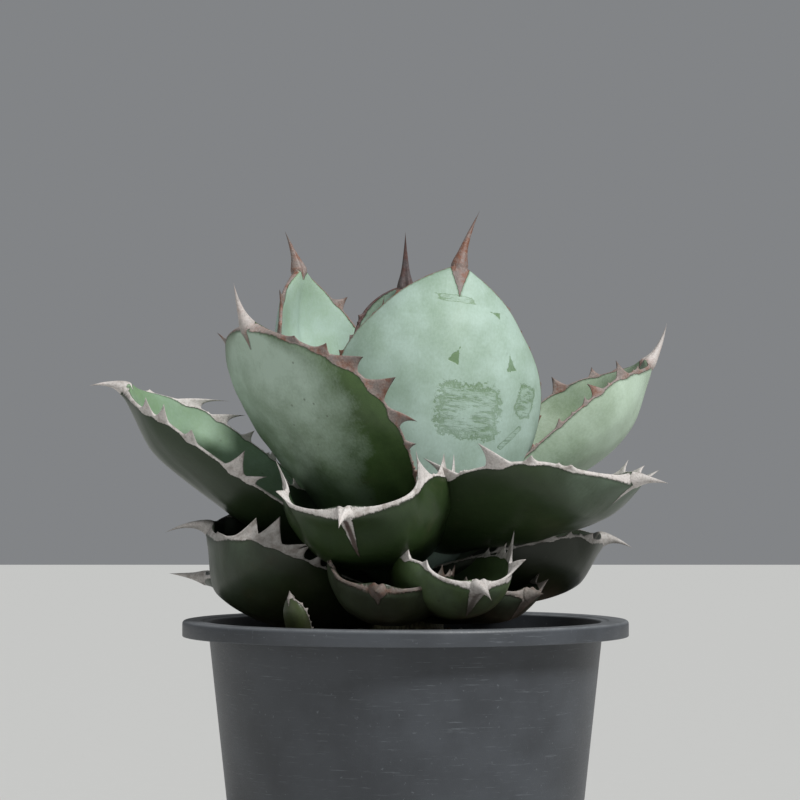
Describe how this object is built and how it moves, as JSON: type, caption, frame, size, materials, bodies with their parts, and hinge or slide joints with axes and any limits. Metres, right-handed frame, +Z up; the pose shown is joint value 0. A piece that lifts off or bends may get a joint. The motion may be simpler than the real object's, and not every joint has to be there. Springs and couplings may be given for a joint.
{
  "type": "potted agave",
  "caption": "Compact rosette succulent with thick, cupped, toothed and spine-tipped leaves, rooted in potting mix in a round tapered nursery pot with a flat turned-down rim.",
  "frame": {"origin": "centre of the pot's flat underside", "axes": "+Z up along the pot's axis, -Y towards the front of the plant, +X to the right of someone who faces the front"},
  "size_m": [0.3174, 0.2613, 0.3895],
  "materials": {
    "pot_plastic": "dark blue-grey moulded plastic, lightly scuffed and dusty",
    "potting_mix": "dark fibrous potting mix with grit",
    "stem_tissue": "pale fibrous stem",
    "leaf_tissue": "thick green leaf with a pale wax bloom, horny margins and brown to grey spines"
  },
  "bodies": {
    "root": {"pot": "pot_plastic", "soil": "potting_mix", "stem": "stem_tissue", "leaf_01_heart": "leaf_tissue", "leaf_02_heart": "leaf_tissue", "leaf_03_inner_back": "leaf_tissue", "leaf_04_centre": "leaf_tissue", "leaf_05_back_left": "leaf_tissue", "leaf_06_front_left": "leaf_tissue", "leaf_07_back_right": "leaf_tissue", "leaf_08_right_upper": "leaf_tissue", "leaf_09_left": "leaf_tissue", "leaf_10_right_front": "leaf_tissue", "leaf_11_front": "leaf_tissue", "leaf_12_back": "leaf_tissue", "leaf_13_back_right_low": "leaf_tissue", "leaf_14_left_low": "leaf_tissue", "leaf_15_right_low": "leaf_tissue", "leaf_16_front_right_mid": "leaf_tissue", "leaf_17_front_right_low": "leaf_tissue", "leaf_18_back_left_low": "leaf_tissue", "leaf_19_back_low": "leaf_tissue", "leaf_20_left_lowest": "leaf_tissue", "leaf_21_front_lowest": "leaf_tissue", "leaf_22_offset": "leaf_tissue"}
  },
  "joints": []
}
